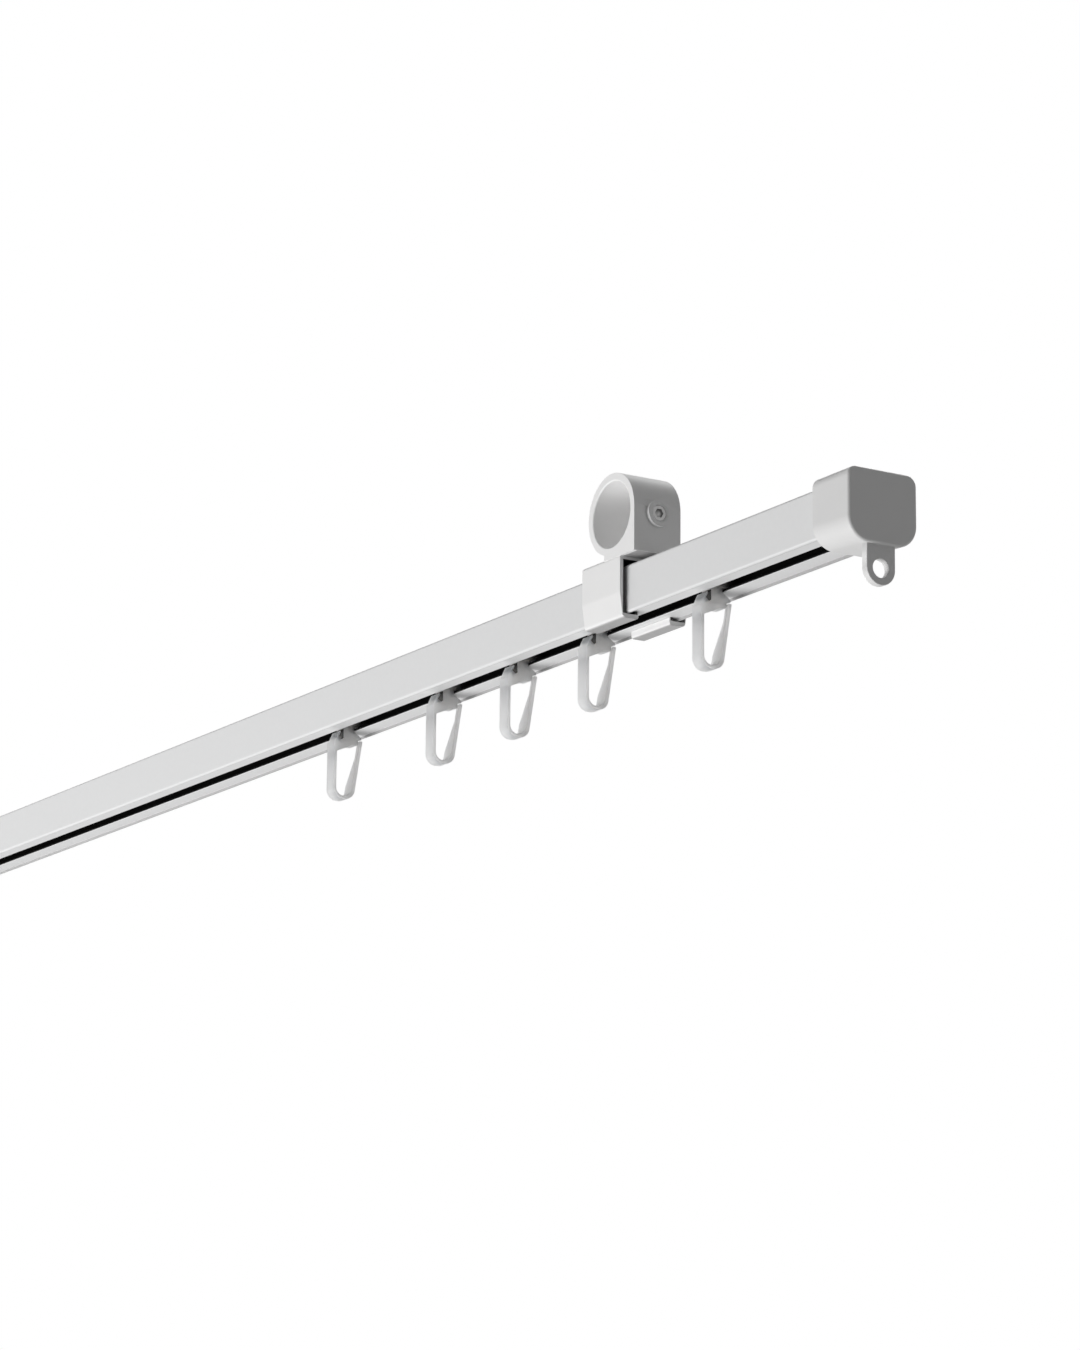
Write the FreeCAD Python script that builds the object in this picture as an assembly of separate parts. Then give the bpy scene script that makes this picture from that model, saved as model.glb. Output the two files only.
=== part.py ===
# White curtain track: a slotted rail with an end cap at each end, two ring hangers that slip over
# round bracket arms, and five gliders that run in the slot. Millimetres. The origin is the centre of
# the right hanger's ring; +X runs along the rail to its right end, +Y to its back, +Z up.
import FreeCAD, Part
import math
import os

V = FreeCAD.Vector

# Rail: an extruded profile, open along its underside
RAIL_LENGTH = 800.0
RAIL_WIDTH = 20.0
RAIL_HEIGHT = 15.2
RAIL_WALL = 1.2
LIP_THICKNESS = 1.0
LIP_RECESS = 0.8
SLOT_WIDTH = 5.5
RAIL_TOP_RADIUS = 1.0
RAIL_FOOT_RADIUS = 1.1
RAIL_EDGE_RADIUS = 0.3

# Hanger: a sprung band round the rail with a ring above it
RING_BORE = 21.0
RING_WALL = 2.5
RING_LENGTH = 17.0
RING_RISE = 16.8
MOUTH_ROUND = 0.5
BAND_LENGTH = 21.6
BAND_WALL = 1.4
BAND_GAP = 1.1
BAND_OFFSET = 5.7
BAND_TOP_GAP = 1.5
BAND_TOP_WALL = 1.6
BAND_TOP_RADIUS = 1.2
BAND_BEND_DROP = 8.9
JAW_GAP = 0.3
JAW_WALL = 1.4
JAW_TIP = 1.2
JAW_OPENING = 11.4
PAD_WIDTH = 9.0
WEB_REACH = 4.0
PEDESTAL_OVERLAP = 0.6

# Boss and set screw in the ring's side
BOSS_DIAMETER = 8.6
BOSS_HEIGHT = 1.8
BOSS_DROP = 1.6
SCREW_DIAMETER = 5.0
SCREW_LENGTH = 3.4
SCREW_SINK = 0.7
SOCKET_ACROSS_FLATS = 2.5
SOCKET_DEPTH = 1.9
CONE_CHAMFER = 0.6

# End cap: a sleeve that swells towards its closed end, with an eyelet tab below
CAP_LENGTH = 17.8
CAP_WALL = 2.1
CAP_TOP_WALL = 2.6
CAP_END_WALL = 2.6
CAP_FIT = 0.05
CAP_FLOOR = 3.2
CAP_FLOOR_DROP = 0.9
CAP_TOP_RADIUS = 3.2
CAP_FOOT_RADIUS = 7.0
CAP_END_RADIUS = 0.9
TAB_WIDTH = 10.0
TAB_THICKNESS = 2.5
TAB_DROP = 11.8
TAB_SET_BACK = 1.2
TAB_ROOT = 2.0
EYELET_DIAMETER = 5.6

# Glider: one moulding; heights are measured from the underside of the rail's lips
GLIDER_LENGTH = 5.0
HEAD_WIDTH = 11.0
HEAD_HEIGHT = 2.2
HEAD_RUN = 0.3
NECK_RUN = 0.35
NECK_THICKNESS = 4.1
SHOULDER_REACH = 5.4
SHOULDER_DROP = 2.1
SHOULDER_EDGE = 0.8
BODY_REACH = 3.9
BODY_FOOT = 5.0
BODY_SLOPE_START = 1.8
LEG_REACH = 5.2
LEG_THICKNESS = 1.0
LEG_TOP = 4.6
LEG_ROOT = 7.6
LOOP_DEPTH = 24.1
LOOP_REACH = 2.6
LOOP_FLAT = 0.3
NOSE_REACH = 3.3
NOSE_TIP = 0.8
NOSE_TOP = 0.6
CLEFT_FRONT = 2.4
CLEFT_REAR = 3.4
TONGUE_THICKNESS = 1.2
TONGUE_REACH = 5.8
TONGUE_GAP = 0.35
TONGUE_TIP_WIDTH = 1.5
TONGUE_KNEE = 9.0
TONGUE_TAPER_START = 19.0
SMALL_ROUND = 0.3

# Where the pieces stand along the rail: the hangers lie as far from their own rail ends
RAIL_RIGHT_END = 121.5
GLIDER_PLACES = (36.5, -27.9, -75.0, -122.2, -189.6)

# Worked out from the sizes above
RING_RADIUS = RING_BORE / 2 + RING_WALL
BAND_HALF = RAIL_WIDTH / 2 + BAND_GAP + BAND_WALL
RAIL_Y = BAND_HALF - RING_LENGTH / 2
RAIL_TOP = -RING_RISE
RAIL_FOOT = RAIL_TOP - RAIL_HEIGHT
LIP_UNDERSIDE = RAIL_FOOT + LIP_RECESS
RAIL_LEFT_END = RAIL_RIGHT_END - RAIL_LENGTH
RAIL_MIDDLE = (RAIL_RIGHT_END + RAIL_LEFT_END) / 2


def yz(x, y, z):
    """A point from a place along the rail, across it from its centre, and a height."""
    return V(x, RAIL_Y + y, z)


def rounded_wire(corners, place):
    """Closed wire through corners (a, b, radius), each rounded by a tangent arc."""
    count = len(corners)
    arcs = []
    for i in range(count):
        a, b, radius = corners[i]
        corner = V(a, b, 0)
        before = V(corners[i - 1][0], corners[i - 1][1], 0) - corner
        after = V(corners[(i + 1) % count][0], corners[(i + 1) % count][1], 0) - corner
        before.normalize()
        after.normalize()
        half_angle = before.getAngle(after) / 2
        if radius <= 0 or half_angle > math.pi / 2 - 1e-6:
            arcs.append((corner, None, corner))
            continue
        reach = radius / math.tan(half_angle)
        inward = before + after
        inward.normalize()
        centre = corner + inward * (radius / math.sin(half_angle))
        arcs.append((corner + before * reach, centre - inward * radius, corner + after * reach))
    edges = []
    for i in range(count):
        start, middle, end = arcs[i]
        if middle is not None:
            edges.append(Part.Arc(place(start), place(middle), place(end)).toShape())
        following = arcs[(i + 1) % count][0]
        if end.distanceToPoint(following) > 1e-6:
            edges.append(Part.LineSegment(place(end), place(following)).toShape())
    return Part.Wire(edges)


def section_wire(corners, x):
    """Wire of a cross-section of the rail: corners are across the rail and height."""
    return rounded_wire(corners, lambda p: yz(x, p.x, p.y))


def extruded_section(corners, x, length):
    """Solid with the given cross-section, running from x along the rail."""
    return Part.Face(section_wire(corners, x)).extrude(V(length, 0, 0))


def opposite_corners(corners):
    """The given corners mirrored to the rail's other side, in the reverse order."""
    mirrored = []
    for across, height, radius in reversed(corners):
        mirrored.append((-across, height, radius))
    return mirrored


def mirrored_corners(half_outline):
    """The given corners, from the bottom to the top, followed by their mirror image."""
    return list(half_outline) + opposite_corners(half_outline)


def mirrored_along_rail(shape):
    """The same piece for the rail's other end."""
    return shape.mirror(V(RAIL_MIDDLE, 0, 0), V(1, 0, 0))


def rail_walls():
    """The rail's solids by node: its crown, its two walls and the two lips beside the slot."""
    half = RAIL_WIDTH / 2
    inner = half - RAIL_WALL
    slot = SLOT_WIDTH / 2
    ceiling = RAIL_TOP - RAIL_WALL
    lip_top = LIP_UNDERSIDE + LIP_THICKNESS
    edge = RAIL_EDGE_RADIUS
    crown = mirrored_corners([
        (half, ceiling, 0),
        (half, RAIL_TOP, RAIL_TOP_RADIUS),
    ])
    wall = [
        (inner, RAIL_FOOT, edge),
        (half, RAIL_FOOT, RAIL_FOOT_RADIUS - edge),
        (half, ceiling, 0),
        (inner, ceiling, 0),
    ]
    lip = [
        (slot, LIP_UNDERSIDE, edge),
        (inner, LIP_UNDERSIDE, 0),
        (inner, lip_top, 0),
        (slot, lip_top, edge),
    ]
    return {
        "rail_crown": make_rail_wall(crown),
        "rail_rear_wall": make_rail_wall(wall),
        "rail_front_wall": make_rail_wall(opposite_corners(wall)),
        "rail_rear_lip": make_rail_wall(lip),
        "rail_front_lip": make_rail_wall(opposite_corners(lip)),
    }


def make_rail_wall(corners):
    return extruded_section(corners, RAIL_LEFT_END, RAIL_LENGTH)


def cap_section(x, floor):
    """Outer outline of the cap's sleeve where its underside lies floor below the rail's foot."""
    half = RAIL_WIDTH / 2 + CAP_WALL
    top = RAIL_TOP + CAP_TOP_WALL
    bottom = RAIL_FOOT - floor
    return section_wire(mirrored_corners([
        (half, bottom, CAP_FOOT_RADIUS),
        (half, top, CAP_TOP_RADIUS),
    ]), x)


def make_end_cap():
    end = RAIL_RIGHT_END + CAP_END_WALL
    mouth = end - CAP_LENGTH
    mouth_wire = cap_section(mouth, CAP_FLOOR)
    end_wire = cap_section(end, CAP_FLOOR + CAP_FLOOR_DROP)
    sleeve = Part.makeLoft([mouth_wire, end_wire], True, True)
    end_edges = []
    for edge in sleeve.Edges:
        if abs(edge.BoundBox.XMin - end) < 1e-4:
            end_edges.append(edge)
    sleeve = sleeve.makeFillet(CAP_END_RADIUS, end_edges)
    sleeve = sleeve.fuse(make_tab(end)).removeSplitter()
    half = RAIL_WIDTH / 2 + CAP_FIT
    pocket = extruded_section(mirrored_corners([
        (half, RAIL_FOOT - CAP_FIT, RAIL_FOOT_RADIUS),
        (half, RAIL_TOP + CAP_FIT, RAIL_TOP_RADIUS),
    ]), mouth - 1, RAIL_RIGHT_END - mouth + 1)
    return sleeve.cut(pocket)


def make_tab(end):
    """Eyelet tab below the cap: a flat plate across the rail with a round foot and a hole."""
    back = end - TAB_SET_BACK - TAB_THICKNESS
    cap_foot = RAIL_FOOT - CAP_FLOOR - CAP_FLOOR_DROP
    half = TAB_WIDTH / 2
    foot = cap_foot - TAB_DROP
    centre = yz(back, 0, foot + half)
    root = cap_foot + TAB_ROOT
    plate = Part.makeBox(TAB_THICKNESS, TAB_WIDTH, root - centre.z, yz(back, -half, centre.z))
    round_foot = Part.makeCylinder(half, TAB_THICKNESS, centre, V(1, 0, 0))
    hole = Part.makeCylinder(EYELET_DIAMETER / 2, TAB_THICKNESS, centre, V(1, 0, 0))
    return plate.fuse(round_foot).removeSplitter().cut(hole)


def band_corners():
    """Outline of the band: a clip whose sides lean in below the bend and hook under the rail."""
    outer = BAND_HALF
    inner = outer - BAND_WALL
    top = RAIL_TOP + BAND_TOP_GAP + BAND_TOP_WALL
    ceiling = RAIL_TOP + BAND_TOP_GAP
    bend = RAIL_TOP - BAND_BEND_DROP
    jaw_top = RAIL_FOOT - JAW_GAP
    jaw_foot = jaw_top - JAW_WALL
    lean = BAND_GAP
    tip = JAW_OPENING / 2
    pad = PAD_WIDTH / 2
    outside = [
        (outer - lean, jaw_foot, 1.4),
        (outer, bend, 6.0),
        (outer, top, BAND_TOP_RADIUS),
    ]
    inside = [
        (pad, RAIL_TOP, SMALL_ROUND),
        (pad, ceiling, SMALL_ROUND),
        (inner, ceiling, SMALL_ROUND),
        (inner, bend, 6.0),
        (inner - lean, jaw_top, SMALL_ROUND),
        (tip + JAW_TIP, jaw_top, SMALL_ROUND),
        (tip + JAW_TIP, LIP_UNDERSIDE, SMALL_ROUND),
        (tip, LIP_UNDERSIDE, SMALL_ROUND),
        (tip, jaw_foot, 0.9),
    ]
    return mirrored_corners(outside) + opposite_corners(inside) + inside


def make_hanger():
    band_start = -BAND_OFFSET - BAND_LENGTH / 2
    band = extruded_section(band_corners(), band_start, BAND_LENGTH)
    front = -RING_LENGTH / 2
    band_top = RAIL_TOP + BAND_TOP_GAP + BAND_TOP_WALL
    tube = Part.makeCylinder(RING_RADIUS, RING_LENGTH, V(0, front, 0), V(0, 1, 0))
    pedestal = rounded_wire([
        (-WEB_REACH, -RING_RADIUS / 2, 0),
        (RING_RADIUS, 0, 0),
        (RING_RADIUS, band_top - PEDESTAL_OVERLAP, 0.4),
        (-WEB_REACH, band_top - PEDESTAL_OVERLAP, 0),
    ], lambda p: V(p.x, front, p.y))
    pedestal = Part.Face(pedestal).extrude(V(0, RING_LENGTH, 0))
    ring = tube.fuse(pedestal).removeSplitter()
    face = RING_RADIUS + BOSS_HEIGHT
    boss = Part.makeCylinder(BOSS_DIAMETER / 2, face, V(0, 0, -BOSS_DROP), V(1, 0, 0))
    ring = ring.fuse(boss)
    hanger = ring.fuse(band)
    screw_hole = Part.makeCylinder(SCREW_DIAMETER / 2, face, V(0, 0, -BOSS_DROP), V(1, 0, 0))
    mouth = Part.makeCone(
        SCREW_DIAMETER / 2, SCREW_DIAMETER / 2 + CONE_CHAMFER, CONE_CHAMFER,
        V(face - CONE_CHAMFER, 0, -BOSS_DROP), V(1, 0, 0))
    return hanger.cut(ring_bore()).cut(screw_hole).cut(mouth).removeSplitter()


def ring_bore():
    """Cutter for the ring's bore, flared at both mouths so that an arm slips in."""
    radius = RING_BORE / 2
    end = RING_LENGTH / 2
    straight = end - MOUTH_ROUND
    flared = radius + MOUTH_ROUND
    bulge = radius + MOUTH_ROUND * (1 - math.sqrt(0.5))
    turn = straight + MOUTH_ROUND * math.sqrt(0.5)
    profile = Part.Wire([
        Part.makeLine(V(0, -end, 0), V(flared, -end, 0)),
        Part.Arc(V(flared, -end, 0), V(bulge, -turn, 0), V(radius, -straight, 0)).toShape(),
        Part.makeLine(V(radius, -straight, 0), V(radius, straight, 0)),
        Part.Arc(V(radius, straight, 0), V(bulge, turn, 0), V(flared, end, 0)).toShape(),
        Part.makeLine(V(flared, end, 0), V(0, end, 0)),
        Part.makeLine(V(0, end, 0), V(0, -end, 0)),
    ])
    return Part.Face(profile).revolve(V(0, 0, 0), V(0, 1, 0), 360)


def make_set_screw():
    outer = RING_RADIUS + BOSS_HEIGHT - SCREW_SINK
    inner = V(outer - SCREW_LENGTH, 0, -BOSS_DROP)
    body = Part.makeCylinder(SCREW_DIAMETER / 2, SCREW_LENGTH, inner, V(1, 0, 0))
    corner_radius = SOCKET_ACROSS_FLATS / math.sqrt(3)
    corners = []
    for i in range(7):
        angle = math.radians(60 * i)
        across = corner_radius * math.cos(angle)
        corners.append(V(outer, across, corner_radius * math.sin(angle) - BOSS_DROP))
    socket = Part.Face(Part.makePolygon(corners)).extrude(V(-SOCKET_DEPTH, 0, 0))
    return body.cut(socket)


def glider_corners():
    """Side outline of the glider, round its head, neck, body, loop and tongue in one run."""
    head_foot = LIP_THICKNESS + HEAD_RUN
    head_top = head_foot + HEAD_HEIGHT
    head = HEAD_WIDTH / 2
    neck_rear = SLOT_WIDTH / 2 - NECK_RUN
    neck_front = neck_rear - NECK_THICKNESS
    tongue_top = -SHOULDER_DROP - SHOULDER_EDGE - TONGUE_GAP
    edge = SMALL_ROUND
    loop_outer = (LEG_REACH + LOOP_REACH - LOOP_FLAT) / 2
    loop_inner = loop_outer - LEG_THICKNESS
    outline = [
        (-head, head_foot, edge),
        (-head, head_top, 0.9),
        (head, head_top, 0.9),
        (head, head_foot, edge),
        (neck_rear, head_foot, edge),
        (neck_rear, -0.2, edge),
        (SHOULDER_REACH, -SHOULDER_DROP, edge),
        (SHOULDER_REACH, -SHOULDER_DROP - SHOULDER_EDGE, edge),
        (BODY_REACH, -SHOULDER_DROP - SHOULDER_EDGE, edge),
        (BODY_REACH, -BODY_FOOT, 2 * edge),
        (BODY_SLOPE_START, -BODY_FOOT, 1.5),
        (-LEG_REACH + LEG_THICKNESS, -LEG_ROOT, edge),
        (-LEG_REACH + LEG_THICKNESS, -LOOP_DEPTH + LEG_THICKNESS, loop_inner),
        (LOOP_REACH - TONGUE_THICKNESS, -LOOP_DEPTH + LEG_THICKNESS, loop_inner),
        (TONGUE_REACH - TONGUE_THICKNESS, tongue_top, edge),
        (TONGUE_REACH, tongue_top, edge),
        (LOOP_REACH, -LOOP_DEPTH, loop_outer),
        (-LEG_REACH, -LOOP_DEPTH, loop_outer),
        (-LEG_REACH, -LEG_TOP, 1.0),
        (-NOSE_REACH, -NOSE_TOP, edge),
        (-NOSE_REACH + NOSE_TIP, -NOSE_TOP, edge),
        (-NOSE_REACH - 0.3, -CLEFT_FRONT, edge),
        (neck_front - 0.7, -CLEFT_REAR, edge),
        (neck_front, -CLEFT_REAR + 0.5, edge),
        (neck_front, head_foot, edge),
    ]
    corners = []
    for across, drop, radius in outline:
        corners.append((across, LIP_UNDERSIDE + drop, radius))
    return corners


def make_glider(x):
    half = GLIDER_LENGTH / 2
    blank = extruded_section(glider_corners(), x - half, GLIDER_LENGTH)
    return blank.cut(tongue_relief(x))


def tongue_relief(x):
    """Wedge that is cut from the rear leg's left edge, so that the tongue narrows to its tip."""
    half = GLIDER_LENGTH / 2
    narrow = half - TONGUE_TIP_WIDTH
    tip = LIP_UNDERSIDE - SHOULDER_DROP - SHOULDER_EDGE
    knee = LIP_UNDERSIDE - TONGUE_KNEE
    start = LIP_UNDERSIDE - TONGUE_TAPER_START
    front = BODY_REACH
    rear = TONGUE_REACH + 1
    low = LOOP_REACH - TONGUE_THICKNESS - 1
    wedge = Part.makePolygon([
        yz(x - half, 0, start),
        yz(x - half - 1, 0, start),
        yz(x - half - 1, 0, tip),
        yz(x + narrow, 0, tip),
        yz(x + narrow, 0, knee),
        yz(x - half, 0, start),
    ])
    wedge = Part.Face(wedge).extrude(V(0, rear, 0))
    leg_side = Part.makePolygon([
        yz(x - half - 1, low, start),
        yz(x - half - 1, rear, start),
        yz(x - half - 1, rear, tip),
        yz(x - half - 1, front, tip),
        yz(x - half - 1, front, LIP_UNDERSIDE - BODY_FOOT - SMALL_ROUND),
        yz(x - half - 1, low, start),
    ])
    leg_side = Part.Face(leg_side).extrude(V(GLIDER_LENGTH + 2, 0, 0))
    return wedge.common(leg_side)


def save(shape, node):
    shape.exportStep("parts/" + node + ".step")
    box = shape.BoundBox
    print(node, shape.ShapeType, "solids", len(shape.Solids), "valid", shape.isValid(),
          "size %.1f %.1f %.1f" % (box.XLength, box.YLength, box.ZLength),
          "volume %.0f" % shape.Volume)


def main():
    os.makedirs("parts", exist_ok=True)
    for node, wall in rail_walls().items():
        save(wall, node)
    cap = make_end_cap()
    save(cap, "end_cap_right")
    save(mirrored_along_rail(cap), "end_cap_left")
    hanger = make_hanger()
    save(hanger, "hanger_right")
    save(mirrored_along_rail(hanger), "hanger_left")
    screw = make_set_screw()
    save(screw, "set_screw_right")
    save(mirrored_along_rail(screw), "set_screw_left")
    for number, x in enumerate(GLIDER_PLACES, start=1):
        save(make_glider(x), "glider_%d" % number)


main()
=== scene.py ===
# %% [markdown]
# A curtain track in Blender
#
# The real thing is a slotted aluminium rail with a white powder coat. It hangs from ring hangers of
# moulded plastic, is closed by end caps, and carries small milky gliders that hold the curtain's tape.
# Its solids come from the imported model. This lesson gives them the soft edges and the finishes of the
# real pieces, and a camera and light like a catalogue photograph's.

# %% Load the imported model
import math
import bmesh
import bpy
from mathutils import Matrix, Vector


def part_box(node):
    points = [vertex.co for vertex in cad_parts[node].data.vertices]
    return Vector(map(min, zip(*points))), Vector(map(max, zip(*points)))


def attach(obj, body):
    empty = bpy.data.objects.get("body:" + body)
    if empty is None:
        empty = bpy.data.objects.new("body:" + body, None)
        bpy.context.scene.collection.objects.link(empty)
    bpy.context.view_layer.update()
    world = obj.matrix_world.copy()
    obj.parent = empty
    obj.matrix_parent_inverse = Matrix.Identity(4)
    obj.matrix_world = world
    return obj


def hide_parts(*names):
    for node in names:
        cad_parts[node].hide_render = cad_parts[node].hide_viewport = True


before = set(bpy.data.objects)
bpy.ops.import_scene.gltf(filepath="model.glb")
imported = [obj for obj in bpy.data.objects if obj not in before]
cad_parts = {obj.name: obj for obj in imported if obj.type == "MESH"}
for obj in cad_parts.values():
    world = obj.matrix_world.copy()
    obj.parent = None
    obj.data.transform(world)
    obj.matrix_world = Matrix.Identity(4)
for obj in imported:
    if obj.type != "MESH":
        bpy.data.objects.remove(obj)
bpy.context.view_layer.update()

MM = 0.001
print("nodes", sorted(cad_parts))

# %% [markdown]
# The photograph looks up at the right end of the rail from in front and below. The numbers come from
# fitting a pinhole camera to the rail's four long edges and to the ring. A matrix built from the three
# axes of the camera holds them exactly, where a Track To constraint would lose the slight roll.

# %% Place the camera
CAMERA_PLACE = (1.07687, -0.69698, -0.36124)
CAMERA_YAW = math.radians(58.374)
CAMERA_PITCH = math.radians(-13.636)
CAMERA_ROLL = math.radians(0.507)
SENSOR = 36.0
FOCAL_PIXELS = 4302.0
IMAGE_HEIGHT = 1350


def camera_axes(yaw, pitch, roll):
    """Right, up and back of a camera that looks from this side, as columns."""
    back = Vector((math.sin(yaw) * math.cos(pitch), -math.cos(yaw) * math.cos(pitch), math.sin(pitch)))
    right = (-back).cross(Vector((0, 0, 1))).normalized()
    up = right.cross(-back)
    tilted_right = math.cos(roll) * right + math.sin(roll) * up
    tilted_up = math.cos(roll) * up - math.sin(roll) * right
    return Matrix((tilted_right, tilted_up, back)).transposed()


def add_object(name, data):
    """Object for a camera, mesh or light, put into the scene."""
    added = bpy.data.objects.new(name, data)
    bpy.context.scene.collection.objects.link(added)
    return added


lens = bpy.data.cameras.new("photo_camera")
lens.sensor_fit = "VERTICAL"
lens.sensor_height = SENSOR
lens.lens = FOCAL_PIXELS * SENSOR / IMAGE_HEIGHT
camera = add_object("photo_camera", lens)
axes = camera_axes(CAMERA_YAW, CAMERA_PITCH, CAMERA_ROLL).to_4x4()
camera.matrix_world = Matrix.Translation(CAMERA_PLACE) @ axes
bpy.context.scene.camera = camera
bpy.context.scene.view_settings.view_transform = "Standard"
print("lens", round(lens.lens, 2), "mm")

# %% [markdown]
# A procedural finish is mostly arithmetic on sockets. Wiring every Math node by hand hides that, so a
# small class wraps a socket and adds the node when Python meets a plus or a minus. Every other node
# comes from one method, which sets the node's settings first and then its sockets.

# %% Wrap a socket that Python can add and multiply


class Wire:
    """An output socket of a recipe; arithmetic on it adds Math nodes."""

    def __init__(self, recipe, socket):
        self.recipe = recipe
        self.socket = socket

    def __add__(self, other):
        return self.recipe.maths("ADD", self, other)

    def __radd__(self, other):
        return self.recipe.maths("ADD", other, self)

    def __sub__(self, other):
        return self.recipe.maths("SUBTRACT", self, other)

    def __rsub__(self, other):
        return self.recipe.maths("SUBTRACT", other, self)

    def __mul__(self, other):
        return self.recipe.maths("MULTIPLY", self, other)

    def __rmul__(self, other):
        return self.recipe.maths("MULTIPLY", other, self)

    def __abs__(self):
        return self.recipe.maths("ABSOLUTE", self)


# %% Write a material or a world as a recipe
# A Mix node repeats its socket names for numbers, vectors and colours, so the colours go by number.
MIX_FIRST_COLOUR = 6
MIX_SECOND_COLOUR = 7
MIX_BLENDED_COLOUR = 2


class Recipe:
    """The nodes of a material or a world, written one at a time."""

    def __init__(self, owner, shader, **constants):
        owner.use_nodes = True
        self.owner = owner
        self.tree = owner.node_tree
        self.shader = self.tree.nodes[shader]
        for socket, value in constants.items():
            self.set(socket.replace("_", " "), value)

    def add(self, kind, settings=None, sockets=None, out=0):
        """Add a node, with its settings and then its sockets, and return one of its outputs."""
        node = self.tree.nodes.new(kind)
        for name, value in (settings or {}).items():
            setattr(node, name, value)
        for name, value in (sockets or {}).items():
            self.feed(node.inputs[name], value)
        return Wire(self, node.outputs[out])

    def feed(self, socket, value):
        """Link a wire to a socket, or set the socket to a fixed value."""
        if isinstance(value, Wire):
            self.tree.links.new(value.socket, socket)
        else:
            socket.default_value = value

    def set(self, socket, value):
        """Feed a socket of the recipe's own shader."""
        self.feed(self.shader.inputs[socket], value)

    def maths(self, operation, *values):
        """One Math node on wires and numbers."""
        return self.add("ShaderNodeMath", {"operation": operation}, dict(enumerate(values)))

    def axis(self, vector, letter):
        """The X, Y or Z of a vector."""
        return self.add("ShaderNodeSeparateXYZ", sockets={0: vector}, out=letter)

    def here(self):
        """Where a point lies on its object, in metres."""
        return self.add("ShaderNodeTexCoord", out="Object")

    def noise(self, grain, detail, stretch=(1, 1, 1)):
        """Noise from 0 to 1 whose grains are this many metres across, longer where stretch is large."""
        scale = tuple(1 / s for s in stretch)
        place = self.add("ShaderNodeMapping", sockets={"Vector": self.here(), "Scale": scale})
        sockets = {"Vector": place, "Scale": 1 / grain, "Detail": detail}
        return self.add("ShaderNodeTexNoise", sockets=sockets)

    def between(self, value, low, high):
        """The value's way from low to high, as a smooth step from 0 to 1."""
        sockets = {"Value": value, "From Min": low, "From Max": high}
        return self.add("ShaderNodeMapRange", {"interpolation_type": "SMOOTHSTEP"}, sockets)

    def blend(self, amount, first, second):
        """Colour that goes from the first to the second as the amount goes from 0 to 1."""
        sockets = {"Factor": amount, MIX_FIRST_COLOUR: first, MIX_SECOND_COLOUR: second}
        return self.add("ShaderNodeMix", {"data_type": "RGBA"}, sockets, out=MIX_BLENDED_COLOUR)

    def relief(self, height, depth):
        """Bump of this depth in metres."""
        return self.add("ShaderNodeBump", sockets={"Height": height, "Strength": 1.0, "Distance": depth})


# %% Start and keep a finish
finishes = {}


def new_finish(name, **constants):
    """Recipe of a new material, with the constants of its shader's sockets."""
    return Recipe(bpy.data.materials.new(name), "Principled BSDF", **constants)


def keep_finish(slot, recipe):
    """Keep a finished material under the name of its slot."""
    finishes[slot] = recipe.owner
    print("finish", recipe.owner.name, "has", len(recipe.tree.nodes), "nodes")


def grey(level, warmth=0.0):
    """A light colour of this level, a little warmer or cooler."""
    return (level * (1 + warmth), level, level * (1 - warmth), 1.0)


# %% [markdown]
# Several finishes change from one place to another on one piece: bare metal inside the rail's channel,
# dark plastic deep inside a hanger's band. Painting an image would need a UV map for each piece. Every
# piece here is in line with the rail, so two plain distances tell the places apart: how far a point is
# across the rail's middle, and how far it is above the underside of the lips.

# %% Measure the rail
RAIL_WALL = 1.2 * MM
RAIL_LIP = 1.0 * MM
RAIL_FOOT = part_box("rail_front_wall")[0]
RAIL_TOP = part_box("rail_crown")[1]
RAIL_MIDDLE = sum(corner.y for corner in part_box("rail_crown")) / 2
LIP_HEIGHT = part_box("rail_front_lip")[0].z


def place_on_rail(recipe):
    """How far a point lies behind the rail's middle, and how far above the lips' underside."""
    across = recipe.axis(recipe.here(), "Y") - RAIL_MIDDLE
    rise = recipe.axis(recipe.here(), "Z") - LIP_HEIGHT
    return across, rise


def facing(recipe, letter):
    """How much a face looks along this axis, from -1 to 1."""
    return recipe.axis(recipe.add("ShaderNodeNewGeometry", out="True Normal"), letter)


print("rail", round((RAIL_TOP.z - RAIL_FOOT.z) / MM, 1), "mm high, middle at Y =", round(RAIL_MIDDLE, 4))

# %% [markdown]
# The rail's powder melts into a skin with a very fine orange peel. It doesn't reach far into a narrow
# channel, so the inside of such a rail stays bare aluminium. Its colour there, and on the slot's edges,
# is painted near black as painted shade. The small step from lip to foot is painted darker as painted
# shade, and the gliders rub the lips beside the slot. Each pair of distances below is where one look
# begins and where it is complete, so that one runs softly into the next.

# %% Mix the powder coat
INSIDE_ACROSS = (9.4 * MM, 9.0 * MM)
INSIDE_ABOVE_LIPS = (0.05 * MM, 0.2 * MM)
INSIDE_BELOW_TOP = (0.5 * MM, 0.9 * MM)
RUBBED_ACROSS = (6.2 * MM, 3.4 * MM)
RUBBED_RISE = (1.2 * MM, 0.0)
STEP_ACROSS = (9.2 * MM, 8.95 * MM)
STEP_RISE = (0.0, -0.1 * MM)
COAT_SHADES = (grey(0.75, -0.004), grey(0.80, -0.002))
# Painted shade: the darker grey of the small step from lip to foot.
STEP_PAINTED_SHADE = grey(0.42)
# Painted shade: near black for the bare metal inside the channel and on the slot's edges.
BARE_METAL_PAINTED_SHADES = (grey(0.012), grey(0.03))
CLOUD_STRETCH = (4, 1, 1)
DRAWN_STRETCH = (60, 1, 1)
PEEL_DEPTH = 0.02 * MM
COAT_ROUGHNESS = 0.40


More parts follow.
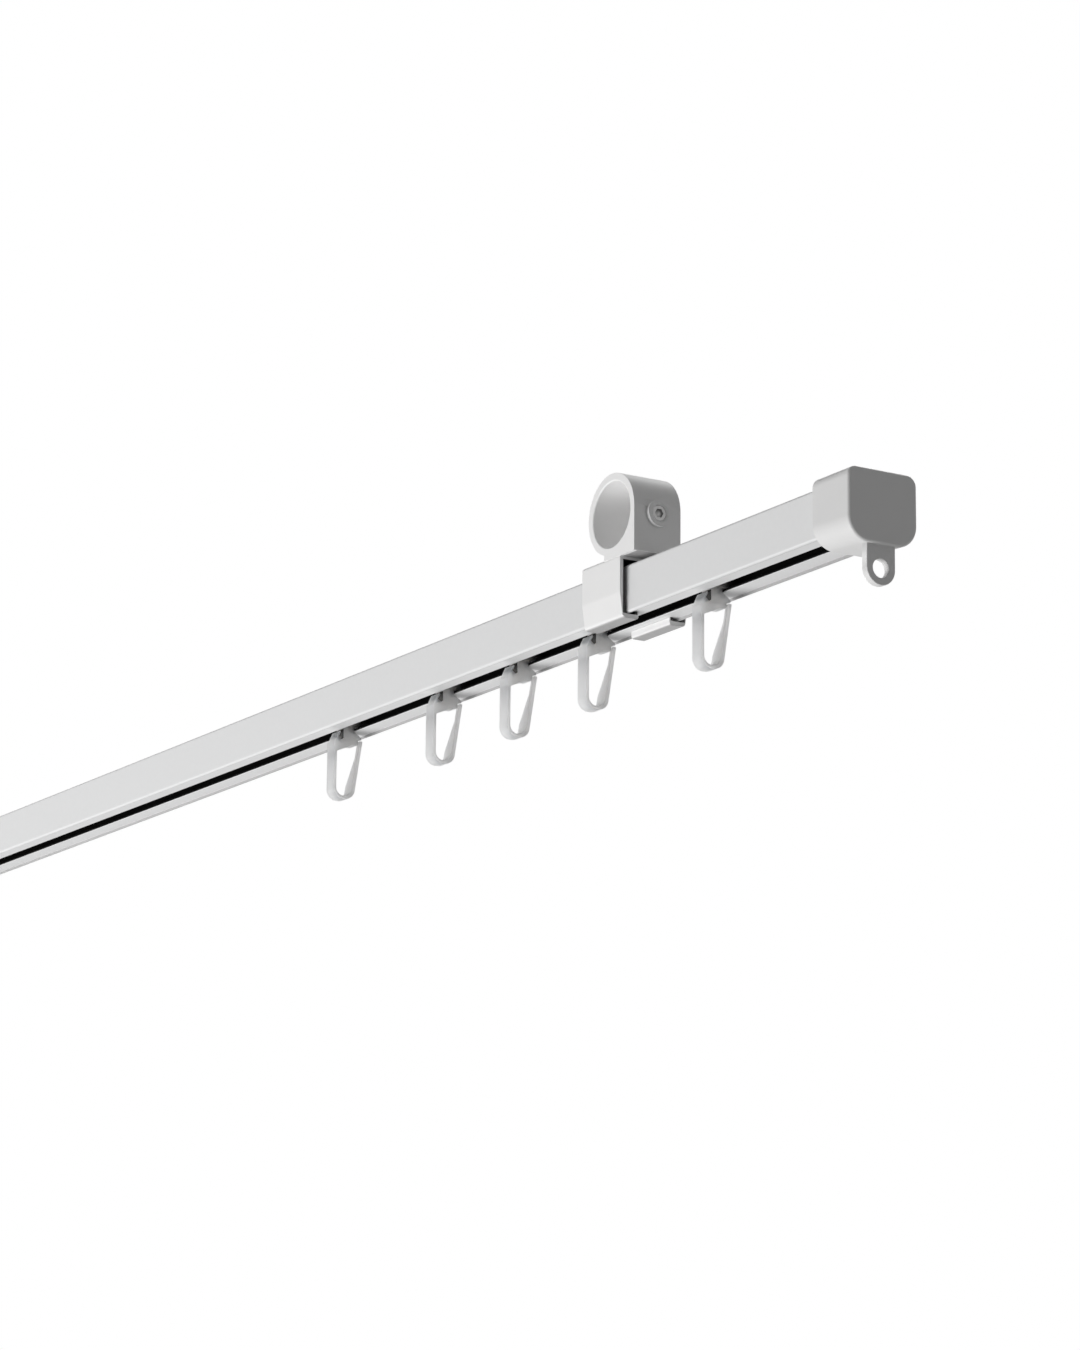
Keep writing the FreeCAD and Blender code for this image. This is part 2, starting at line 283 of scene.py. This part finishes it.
def powder_coat():
    """White coat with painted shade on the step, rubbed beside the slot; bare metal in the channel,
    painted near black as shade.
    """
    recipe = new_finish("powder_coat", IOR=1.5)
    across, rise = place_on_rail(recipe)
    across = abs(across)
    below_top = (RAIL_TOP.z - LIP_HEIGHT) - rise
    # The channel's inside and the slot's edges: bare metal, with its colour painted near black as painted
    # shade.
    inside = recipe.between(across, *INSIDE_ACROSS) * recipe.between(rise, *INSIDE_ABOVE_LIPS)
    inside = inside * recipe.between(below_top, *INSIDE_BELOW_TOP)
    rubbed = recipe.between(across, *RUBBED_ACROSS) * recipe.between(rise, *RUBBED_RISE)
    # Painted shade on the step from lip to foot.
    painted_step_shade = recipe.between(across, *STEP_ACROSS) * recipe.between(rise, *STEP_RISE)
    cloud = recipe.noise(grain=90 * MM, detail=3.0, stretch=CLOUD_STRETCH)
    speck = recipe.noise(grain=1.6 * MM, detail=1.0)
    peel = recipe.noise(grain=1.1 * MM, detail=2.0)
    drawn = recipe.noise(grain=0.7 * MM, detail=2.0, stretch=DRAWN_STRETCH)
    coat = recipe.blend(cloud * 0.6 + speck * 0.4, *COAT_SHADES)
    coat = recipe.blend(painted_step_shade, coat, STEP_PAINTED_SHADE)
    recipe.set("Base Color", recipe.blend(inside, coat, recipe.blend(drawn, *BARE_METAL_PAINTED_SHADES)))
    recipe.set("Metallic", inside)
    recipe.set("Roughness", COAT_ROUGHNESS + 0.08 * cloud - 0.10 * rubbed * drawn + 0.12 * inside)
    skin = peel * (1 - inside) * (1 - 0.6 * rubbed)
    recipe.set("Normal", recipe.relief(skin + drawn * inside, PEEL_DEPTH))
    return recipe


keep_finish("rail", powder_coat())

# %% [markdown]
# Two places are black in the photograph: the cleft behind a glider's nose, and the gap between a
# hanger's band and the rail. Soft studio light leaks into both. Less light would dull the whole object,
# so their shade is painted into the plastic's colour there. The masks go by places on the piece and by
# the way its faces look, and not by the camera, so they hold in every view.

# %% Find the cleft behind a glider's nose, whose shade is painted
CLEFT_ACROSS = -1.9 * MM
CLEFT_RISE = -1.6 * MM
CLEFT_TALLNESS = 2
CLEFT_REACH = (1.1 * MM, 0.9 * MM)
FLAT_SIDE = (0.95, 0.75)


def cleft_painted_shade(recipe):
    """Painted shade on the cleft's walls, found by a tall ellipse, but not on the glider's two flat
    sides.
    """
    # Painted shade: these places get a near black colour.
    across, rise = place_on_rail(recipe)
    sideways = across - CLEFT_ACROSS
    upwards = rise - CLEFT_RISE
    away = sideways * sideways + (1 / CLEFT_TALLNESS ** 2) * upwards * upwards
    near = recipe.between(away, CLEFT_REACH[0] ** 2, CLEFT_REACH[1] ** 2)
    return near * recipe.between(abs(facing(recipe, "X")), *FLAT_SIDE)


print("cleft", round(-CLEFT_ACROSS / MM, 1), "mm in front of the middle")

# %% Find the inside of a hanger's band, whose shade is painted
BAND_LINING = (11.5 * MM, 11.3 * MM)
BAND_ROOF = (16.1 * MM, 15.95 * MM)
BAND_FOOT = (0.0, 0.3 * MM)
JAW_BACK = (5.9 * MM, 6.2 * MM)
JAW_FOOT = (-1.2 * MM, -0.9 * MM)
UNDERSIDE_TOP = (17.2 * MM, 17.0 * MM)
# Share of painted shade on the faces that look down beside the rail.
UNDERSIDE_PAINTED_SHADE = 0.55
LOOKING_DOWN = (-0.6, -0.95)


def band_painted_shade(recipe):
    """Painted shade on the band's lining, close round the rail, and in part on the faces between its
    walls that look down.
    """
    across, rise = place_on_rail(recipe)
    across = abs(across)
    # Painted shade: the lining, the backs of the jaws and the downward faces get a near black colour.
    between_walls = recipe.between(across, *BAND_LINING)
    beside_rail = recipe.between(rise, *BAND_FOOT) * recipe.between(rise, *BAND_ROOF)
    behind_jaws = recipe.between(across, *JAW_BACK) * recipe.between(rise, *JAW_FOOT)
    behind_jaws = behind_jaws * recipe.between(rise, *reversed(BAND_FOOT))
    lining = between_walls * (beside_rail + behind_jaws)
    underside = recipe.between(rise, *UNDERSIDE_TOP) * recipe.between(facing(recipe, "Z"), *LOOKING_DOWN)
    return recipe.maths("MAXIMUM", lining, UNDERSIDE_PAINTED_SHADE * between_walls * underside)


print("band's lining", round(BAND_LINING[1] / MM, 1), "mm from the middle")

# %% [markdown]
# The caps and hangers are opaque polypropylene or nylon: a spark-eroded mould leaves a fine, even
# grain, and the melt leaves faint clouds. The gliders are unfilled acetal, which lets light in and
# spreads it. All three come from one function. How much light enters is a constant on the shader.

# %% Mix the plastics
GLOW_DEPTH = 30 * MM
GLOW_TINT = (1.0, 0.95, 0.9)
GRAIN_RELIEF = 0.03
# Painted shade: the near black of places where light hardly reaches.
PAINTED_DEEP_SHADE = grey(0.015)


def moulded_plastic(name, dark, light, roughness, grain, glow=0.0, painted_shade=None):
    """Satin plastic with this grain; painted_shade is the function that finds where shade is painted
    dark.
    """
    recipe = new_finish(
        name, IOR=1.49, Subsurface_Weight=glow, Subsurface_Scale=GLOW_DEPTH, Subsurface_Radius=GLOW_TINT)
    cloud = recipe.noise(grain=12 * MM, detail=3.0)
    sparks = recipe.noise(grain, detail=2.0)
    colour = recipe.blend(cloud * 0.7 + sparks * 0.3, grey(dark, 0.002), grey(light, 0.004))
    # Painted shade: near black where the mask finds deep shade.
    if painted_shade:
        colour = recipe.blend(painted_shade(recipe), colour, PAINTED_DEEP_SHADE)
    recipe.set("Base Color", colour)
    recipe.set("Roughness", roughness + 0.10 * cloud - 0.06 * sparks)
    recipe.set("Normal", recipe.relief(sparks, grain * GRAIN_RELIEF))
    return recipe


keep_finish("cap", moulded_plastic(
    "cap_plastic", dark=0.70, light=0.76, roughness=0.42, grain=0.5 * MM))
keep_finish("hanger", moulded_plastic(
    "hanger_plastic", dark=0.85, light=0.91, roughness=0.44, grain=0.5 * MM, painted_shade=band_painted_shade))
keep_finish("glider", moulded_plastic(
    "glider_plastic", dark=0.83, light=0.89, roughness=0.36, grain=0.4 * MM, glow=1.0, painted_shade=cleft_painted_shade))

# %% [markdown]
# A grub screw is turned steel, with fine rings round its own axis and a faint stain. Rings are a wave
# of the distance from the axis, so no image has to be aimed. Both screws lie on one axis, along X at
# Y = 0.

# %% Mix the steel
SCREW_HEIGHT = sum(corner.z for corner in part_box("set_screw_right")) / 2
STEEL_SHADES = (grey(0.24, 0.01), grey(0.36))
RING_SPACING = 0.22 * MM
RING_DEPTH = 0.006 * MM
STEEL_ROUGHNESS = 0.30


def turned_steel():
    """Grey steel with turned rings and a faint stain."""
    recipe = new_finish("turned_steel", Metallic=1.0)
    side = recipe.axis(recipe.here(), "Y")
    rise = recipe.axis(recipe.here(), "Z") - SCREW_HEIGHT
    radius = recipe.maths("SQRT", side * side + rise * rise)
    rings = recipe.maths("SINE", radius * (2 * math.pi / RING_SPACING))
    stain = recipe.noise(grain=1.2 * MM, detail=3.0)
    recipe.set("Base Color", recipe.blend(stain, *STEEL_SHADES))
    recipe.set("Roughness", STEEL_ROUGHNESS + 0.14 * stain)
    recipe.set("Normal", recipe.relief(0.5 + 0.5 * rings, RING_DEPTH))
    return recipe


keep_finish("screw", turned_steel())

# %% [markdown]
# A mould never makes a knife edge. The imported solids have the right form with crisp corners, so each
# moulding starts from a copy of its solid: the loose triangles are merged, flat triangles dissolved
# into whole faces, and only the outer corners that are really sharp get a narrow bevel. A Bevel
# modifier would round the inner corners too and blur the foot of a boss, so the operator is given its
# edges by their angle.

# %% Turn a mesh into a finished piece
BIG_FACES_FIRST = 80


def keep_mesh(name, shape):
    """Mesh of a bmesh, which is then freed."""
    mesh = bpy.data.meshes.new(name)
    shape.to_mesh(mesh)
    shape.free()
    return mesh


def finish_piece(mesh, name, slot, body, *nodes):
    """Object for a mesh: smooth shading, finish, and the body and CAD nodes it stands for."""
    mesh.shade_smooth()
    mesh.materials.clear()
    mesh.materials.append(finishes[slot])
    piece = add_object(name, mesh)
    weighted = piece.modifiers.new("even_shading", "WEIGHTED_NORMAL")
    weighted.weight = BIG_FACES_FIRST
    weighted.keep_sharp = True
    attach(piece, body)
    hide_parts(*nodes)
    print(name, len(mesh.polygons), "faces")


# %% Round the sharp corners of the mouldings and the screws
MERGE_WITHIN = 0.002 * MM
FLAT_WITHIN = math.radians(0.8)
SHARP_OVER = math.radians(38)
ARC = 0.5
# The width and the segments of each slot's bevels.
ROUNDING = {
    "hanger": (0.3 * MM, 3),
    "cap": (0.3 * MM, 3),
    "screw": (0.15 * MM, 2),
    "glider": (0.22 * MM, 3),
}


def soft_copy(node, width, segments):
    """Mesh of a CAD node with its sharp outer corners rounded to this width in metres."""
    shape = bmesh.new()
    shape.from_mesh(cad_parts[node].data)
    bmesh.ops.remove_doubles(shape, verts=shape.verts, dist=MERGE_WITHIN)
    bmesh.ops.dissolve_limit(
        shape, angle_limit=FLAT_WITHIN, use_dissolve_boundaries=False,
        verts=shape.verts, edges=shape.edges)
    corners = []
    for edge in shape.edges:
        if len(edge.link_faces) == 2 and edge.is_convex and edge.calc_face_angle() > SHARP_OVER:
            corners.append(edge)
    bmesh.ops.bevel(
        shape, geom=corners, offset=width, offset_type="OFFSET", segments=segments,
        profile=ARC, affect="EDGES", clamp_overlap=True, material=-1)
    return keep_mesh(node + "_mesh", shape)


def finish_node(node, name, slot, body):
    """Finished piece in place of one CAD node, rounded as its slot says."""
    finish_piece(soft_copy(node, *ROUNDING[slot]), name, slot, body, node)


GLIDERS = 5
for side in ("right", "left"):
    finish_node("hanger_" + side, "hanger_moulding_" + side, "hanger", "track")
    finish_node("end_cap_" + side, "cap_moulding_" + side, "cap", "track")
    finish_node("set_screw_" + side, "grub_screw_" + side, "screw", "track")
for number in range(1, GLIDERS + 1):
    finish_node("glider_%d" % number, "glider_moulding_%d" % number, "glider", "runner_%d" % number)

# %% [markdown]
# The real rail is one extrusion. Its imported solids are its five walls, because that is what collision
# needs, so here one piece stands for all five: an outline of its cross-section, whose corners are
# rounded as flat vertices first, pushed out along the rail as a press pushes metal through a die.

# %% Draw the rail's cross-section
LIP_ROUND = 0.3 * MM
FOOT_ROUND = 0.8 * MM
TOP_ROUND = 1.0 * MM
CHANNEL_ROUND = 0.4 * MM


def rail_half():
    """Corners (across, height, radius) of the rear half: outside up from the slot, inside back to it."""
    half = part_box("rail_crown")[1].y - RAIL_MIDDLE
    inner = half - RAIL_WALL
    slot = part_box("rail_rear_lip")[0].y - RAIL_MIDDLE
    outside = [
        (slot, LIP_HEIGHT, LIP_ROUND),
        (inner, LIP_HEIGHT, LIP_ROUND),
        (inner, RAIL_FOOT.z, LIP_ROUND),
        (half, RAIL_FOOT.z, FOOT_ROUND),
        (half, RAIL_TOP.z, TOP_ROUND),
    ]
    inside = [
        (inner, RAIL_TOP.z - RAIL_WALL, CHANNEL_ROUND),
        (inner, LIP_HEIGHT + RAIL_LIP, CHANNEL_ROUND),
        (slot, LIP_HEIGHT + RAIL_LIP, LIP_ROUND),
    ]
    return outside, inside


def placed(corners, way):
    """The corners where they are on the rear half, for way 1, or mirrored to the front, for way -1."""
    return [(RAIL_MIDDLE + way * across, height, radius) for across, height, radius in corners]


def rail_outline():
    """Corners of the whole cross-section, round the outside to the front and back inside."""
    outside, inside = rail_half()
    outer = placed(outside, 1) + placed(outside[::-1], -1)
    return outer + placed(inside[::-1], -1) + placed(inside, 1)


print("cross-section has", len(rail_outline()), "corners")

# %% Extrude the rail
ROUND_SEGMENTS = 5


def outline_face(shape, corners):
    """Flat face across the rail, with each corner rounded by its radius."""
    points = [Vector((0, across, height)) for across, height, radius in corners]
    dots = [shape.verts.new(point) for point in points]
    shape.faces.new(dots)
    for i, dot in enumerate(dots):
        before = (points[i - 1] - points[i]).normalized()
        after = (points[(i + 1) % len(points)] - points[i]).normalized()
        half_angle = before.angle(after) / 2
        bmesh.ops.bevel(
            shape, geom=[dot], offset=corners[i][2] / math.tan(half_angle), offset_type="OFFSET",
            segments=ROUND_SEGMENTS, profile=ARC, affect="VERTICES", clamp_overlap=False, material=-1)
    return shape.faces[:]


def extruded_rail():
    """Mesh of the cross-section pushed out from the rail's left end to its right end."""
    shape = bmesh.new()
    faces = outline_face(shape, rail_outline())
    bmesh.ops.translate(shape, verts=shape.verts, vec=(RAIL_FOOT.x, 0, 0))
    pushed = bmesh.ops.extrude_face_region(shape, geom=faces)
    dots = [part for part in pushed["geom"] if isinstance(part, bmesh.types.BMVert)]
    bmesh.ops.translate(shape, verts=dots, vec=(RAIL_TOP.x - RAIL_FOOT.x, 0, 0))
    bmesh.ops.recalc_face_normals(shape, faces=shape.faces)
    return keep_mesh("rail_profile", shape)


finish_piece(
    extruded_rail(), "rail_profile", "rail", "track", "rail_crown", "rail_front_wall",
    "rail_rear_wall", "rail_front_lip", "rail_rear_lip")

# %% [markdown]
# The photograph's ground is plain white. The camera is below the rail, so the floor lies far down, and
# it is very wide, so that its edge shows in no view. Light Path lets the camera, mirrors and glass see
# floor and world as white, while both send little light to the object. The floor is clear from
# underneath, because a view from far below looks through it.

# %% Lay the floor
FLOOR_HEIGHT = -2.2
FLOOR_REACH = 60.0
PAPER = grey(0.9)
WHITE = grey(1.0)
PAPER_GLOW = 0.92


def seen_directly(recipe):
    """1 for what the camera, a mirror or glass sees, and 0 for the light that falls on the object."""
    camera_ray, mirror_ray, glass_ray = [
        recipe.add("ShaderNodeLightPath", out="Is %s Ray" % kind)
        for kind in ("Camera", "Glossy", "Transmission")]
    return recipe.maths("MAXIMUM", camera_ray, recipe.maths("MAXIMUM", mirror_ray, glass_ray))


def floor_paper():
    """Paper that glows white where it is seen, keeps some shadow, and is clear from underneath."""
    recipe = new_finish("floor_paper", Roughness=0.9)
    recipe.set("Base Color", PAPER)
    matt = Wire(recipe, recipe.shader.outputs[0])
    glow = recipe.add("ShaderNodeEmission", sockets={"Color": WHITE, "Strength": 1.0})
    share = seen_directly(recipe) * PAPER_GLOW
    paper = recipe.add("ShaderNodeMixShader", sockets={0: share, 1: matt, 2: glow})
    under = recipe.add("ShaderNodeNewGeometry", out="Backfacing")
    clear = recipe.add("ShaderNodeBsdfTransparent", sockets={"Color": WHITE})
    one_sided = recipe.add("ShaderNodeMixShader", sockets={0: under, 1: paper, 2: clear})
    recipe.feed(recipe.tree.nodes["Material Output"].inputs["Surface"], one_sided)
    return recipe.owner


def white_floor():
    """The floor, far below the track, as part of the stage."""
    shape = bmesh.new()
    bmesh.ops.create_grid(shape, x_segments=1, y_segments=1, size=FLOOR_REACH)
    bmesh.ops.translate(shape, verts=shape.verts, vec=(0, 0, FLOOR_HEIGHT))
    floor = add_object("floor", keep_mesh("floor", shape))
    floor.data.materials.append(floor_paper())


white_floor()
print("floor", -FLOOR_HEIGHT, "m below the ring's middle")

# %% Light the world
WORLD_LIGHT = 0.18


def white_world():
    """A world that looks white and gives little light."""
    world = bpy.data.worlds.new("studio")
    bpy.context.scene.world = world
    recipe = Recipe(world, "Background", Color=WHITE)
    recipe.set("Strength", WORLD_LIGHT + (1 - WORLD_LIGHT) * seen_directly(recipe))


white_world()
print("world light", WORLD_LIGHT)

# %% [markdown]
# Faces that look right are dark in the photograph, and the front and the undersides are bright: the
# light comes from the left, from in front and from below. One large soft lamp does that, and its size
# keeps the gliders' shadows on the lip faint. A second, weaker lamp behind and above shines through the
# milky gliders, and shows the back and the top in the other views.

# %% Set up the lamps
LIT_POINT = Vector((-0.25, 0.0, 0.0))


def soft_lamp(name, place, width, power):
    """A round lamp that faces a point near the track's middle, unseen by the camera."""
    light = bpy.data.lights.new(name, "AREA")
    light.shape = "DISK"
    light.size = width
    light.energy = power
    lamp = add_object(name, light)
    towards = LIT_POINT - Vector(place)
    turn = towards.to_track_quat("-Z", "Y").to_matrix().to_4x4()
    lamp.matrix_world = Matrix.Translation(place) @ turn
    lamp.visible_camera = False
    print("lamp", name, round(towards.length, 2), "m away")


soft_lamp("key_light", place=(-0.62, -1.6, -1.2), width=1.5, power=39.0)
soft_lamp("back_light", place=(-0.9, 1.7, 1.3), width=1.2, power=24.0)
